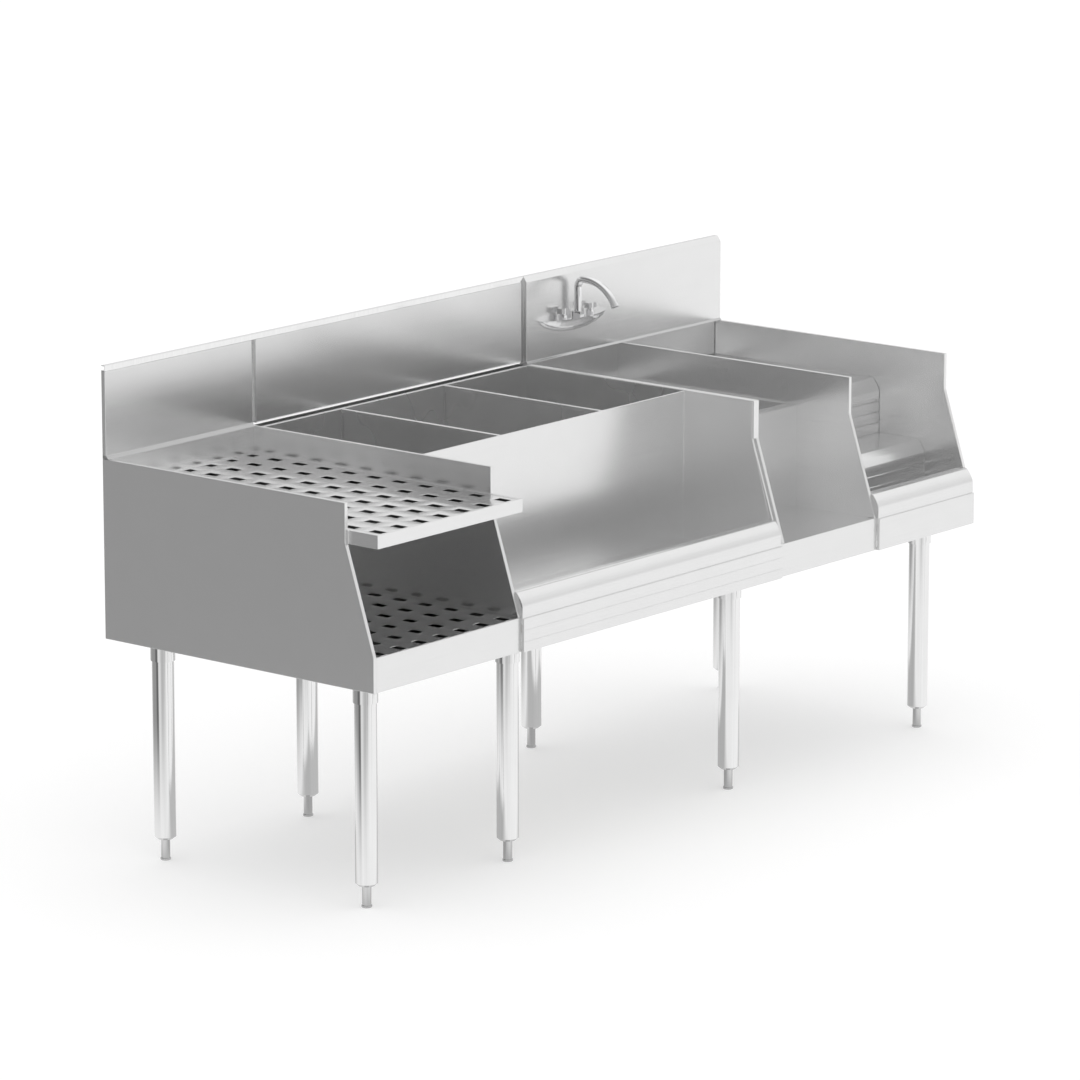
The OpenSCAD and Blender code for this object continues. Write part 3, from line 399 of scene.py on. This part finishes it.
def turn_down(bm, lo, hi):
    """Bends the sheet's outer edges down, to the insert's lower side."""
    rim = [e for e in bm.edges if e.is_boundary and all(on_rim(v.co, lo, hi) for v in e.verts)]
    bends = [math.radians(90 / QUARTER_STEPS * i) for i in range(1, QUARTER_STEPS + 1)]
    steps = [(EDGE_RADIUS * math.sin(a), EDGE_RADIUS * (math.cos(a) - 1)) for a in bends]
    steps.append((EDGE_RADIUS, lo.z - hi.z))
    for out, drop in steps:
        made = bmesh.ops.extrude_edge_only(bm, edges=rim)["geom"]
        for v in (g for g in made if isinstance(g, bmesh.types.BMVert)):
            v.co.x = spread(v.co.x, lo.x, hi.x, out)
            v.co.y = spread(v.co.y, lo.y, hi.y, out)
            v.co.z = hi.z + drop
        rim = [g for g in made if isinstance(g, bmesh.types.BMEdge) and g.is_boundary]
    bmesh.ops.recalc_face_normals(bm, faces=bm.faces)
    if sum(f.normal.z for f in bm.faces) < 0:
        bmesh.ops.reverse_faces(bm, faces=bm.faces)


def on_rim(co, lo, hi):
    beside = min(abs(co.x - lo.x - EDGE_RADIUS), abs(hi.x - EDGE_RADIUS - co.x))
    before = min(abs(co.y - lo.y - EDGE_RADIUS), abs(hi.y - EDGE_RADIUS - co.y))
    return min(beside, before) < SAME_POINT


def spread(value, low, high, out):
    """Moves a point of the rim to out beyond the flat. A point away from low and high stays."""
    if value < low + EDGE_RADIUS + SAME_POINT:
        return low + EDGE_RADIUS - out
    if value > high - EDGE_RADIUS - SAME_POINT:
        return high - EDGE_RADIUS + out
    return value


# The studio that the metal mirrors: a light room, darker behind and to the left of the object
# Tones by direction, in degrees from X towards Y. Narrow dark bands give the legs their streaks.
FLOOR_LEVEL = (
    (-180, 0.80), (-165, 0.70), (-152, 0.50), (-135, 0.48), (-124, 0.58), (-120, 0.22), (-116, 0.66),
    (-85, 0.93), (-79, 0.93), (-75, 0.45), (-71, 0.95), (-15, 0.95), (5, 0.50), (38, 0.45), (62, 0.60),
    (90, 0.36), (110, 0.31), (140, 0.31), (152, 0.16), (166, 0.12), (174, 0.60), (180, 0.80))
EYE_LEVEL = (
    (-180, 0.36), (-160, 0.38), (-140, 0.44), (-124, 0.52), (-120, 0.05), (-116, 0.56), (-90, 0.66),
    (-80, 0.70), (-76, 0.05), (-72, 0.72), (-40, 0.78), (-14, 0.78), (-10, 0.05), (-6, 0.78), (12, 0.76),
    (40, 0.76), (60, 0.74), (66, 0.05), (72, 0.62), (90, 0.45), (110, 0.22), (140, 0.15), (165, 0.26),
    (180, 0.36))
HIGH_LEVEL = (
    (-180, 0.36), (-140, 0.50), (-120, 0.62), (-114, 0.05), (-108, 0.68), (-90, 0.74), (-70, 0.80),
    (-64, 0.05), (-58, 0.90), (-28, 0.95), (0, 0.92), (8, 0.05), (16, 0.90), (30, 0.86), (60, 0.74),
    (95, 0.45), (140, 0.20), (165, 0.30), (180, 0.36))
# Where each level gives way to the next, as the height of a direction one metre long
FLOOR_TO_EYE, EYE_TO_HIGH, HIGH_TO_CEILING = (-0.08, 0.12), (0.24, 0.50), (0.62, 0.95)


def make_world():
    """The metal mirrors the room, the camera sees plain white, and a soft dome lights the rest."""
    room_strength, dome_level, dome_rise = 1.04, 0.4, 1.2
    world = bpy.data.worlds.new("studio")
    scene.world = world
    g = Graph(world)
    way = g.add("ShaderNodeSeparateXYZ", Vector=g.add("ShaderNodeTexCoord").outputs["Generated"]).outputs
    around = g.math("ADD", g.math("DIVIDE", g.math("ARCTAN2", way["Y"], way["X"]), math.tau), 0.5)

    def ring(stops):
        return g.ramp(around, [(degrees / 360 + 0.5, tone) for degrees, tone in stops])

    room, ceiling = ring(FLOOR_LEVEL), (1, 1, 1, 1)
    above = ((FLOOR_TO_EYE, ring(EYE_LEVEL)), (EYE_TO_HIGH, ring(HIGH_LEVEL)), (HIGH_TO_CEILING, ceiling))
    for heights, tones in above:
        room = g.mix_tones(g.remap(way["Z"], *heights, 0.0, 1.0, smooth=True), room, tones)
    height = g.math("MAXIMUM", way["Z"], 0.0)
    dome = g.math("ADD", dome_level, g.math("MULTIPLY", dome_rise, g.math("POWER", height, 2.0)))
    ray = g.add("ShaderNodeLightPath").outputs
    mirrored = g.add("ShaderNodeBackground", Color=room, Strength=room_strength).outputs[0]
    lit = g.mix_shaders(ray["Is Glossy Ray"], g.shader("ShaderNodeBackground", Strength=dome), mirrored)
    seen = g.mix_shaders(ray["Is Camera Ray"], lit, g.shader("ShaderNodeBackground", Strength=1.0))
    g.add("ShaderNodeOutputWorld", Surface=seen)


def make_floor():
    half_side = 15.0
    mesh = bpy.data.meshes.new("floor")
    bm = bmesh.new()
    bmesh.ops.create_grid(bm, x_segments=8, y_segments=8, size=half_side)
    bm.to_mesh(mesh)
    bm.free()
    floor = bpy.data.objects.new("floor", mesh)
    scene.collection.objects.link(floor)
    mesh.materials.append(floor_material())


def floor_material():
    """The camera sees a white floor with a soft shadow. The metal mirrors only the floor near the object."""
    white_share, shade_share, bounce_share = 0.45, 0.6, 0.85
    material = bpy.data.materials.new("floor")
    g = Graph(material)
    place = g.add("ShaderNodeSeparateXYZ", Vector=g.add("ShaderNodeTexCoord").outputs["Object"]).outputs
    x, y = place["X"], place["Y"]
    ray = g.add("ShaderNodeLightPath").outputs
    glow = g.shader("ShaderNodeEmission", Strength=mirrored_light(g, x, y))
    clear = g.add("ShaderNodeBsdfTransparent").outputs[0]
    mirrored = g.mix_shaders(mirrored_share(g, x, y), clear, glow)
    other = g.mix_shaders(ray["Is Glossy Ray"], g.shader("ShaderNodeBsdfDiffuse", bounce_share), mirrored)
    white = g.shader("ShaderNodeEmission", Strength=white_share)
    shade = g.shader("ShaderNodeBsdfDiffuse", shade_share)
    seen = g.add("ShaderNodeAddShader", i0=white, i1=shade).outputs[0]
    g.add("ShaderNodeOutputMaterial", Surface=g.mix_shaders(ray["Is Camera Ray"], other, seen))
    return material


def mirrored_share(g, x, y):
    """How much of the floor the metal mirrors: most of it below the object and on its right."""
    patch_left, patch_back, patch_front, front_fade = -0.9, 0.3, -0.9, 0.8
    fade_start, fade_end, most = 0.05, 1.1, 0.9
    left = g.math("SUBTRACT", patch_left, x)
    back = g.math("SUBTRACT", y, patch_back)
    front = g.math("MULTIPLY", g.math("SUBTRACT", patch_front, y), front_fade)
    aside = g.math("MAXIMUM", back, g.math("MAXIMUM", front, 0.0))
    square = g.math("ADD", g.math("POWER", g.math("MAXIMUM", left, 0.0), 2.0), g.math("POWER", aside, 2.0))
    return g.remap(g.math("SQRT", square), fade_start, fade_end, most, 0.0, smooth=True)


def mirrored_light(g, x, y):
    """The light of the mirrored floor: less under the object, which shades it."""
    half_length, half_depth, inside, outside = 0.9, 0.33, -0.14, 0.08
    shaded, lit = 0.50, 0.96
    beside = g.math("SUBTRACT", g.math("ABSOLUTE", x), half_length)
    before = g.math("SUBTRACT", g.math("ABSOLUTE", y), half_depth)
    return g.remap(g.math("MAXIMUM", beside, before), inside, outside, shaded, lit, smooth=True)


make_camera()
dress_nodes()
soften_nodes()
for rail in ("bin_front_rail", "rack_front_rail"):
    rounded(rail, RAIL_RADIUS)
for step in ("rack_upper_step", "rack_lower_step"):
    rounded(step, STEP_RADIUS)
perforated("drain_insert", "deck_insert", DECK_FIRST_ROW)
perforated("lower_shelf", "shelf_insert", SHELF_FIRST_ROW)
make_world()
make_floor()
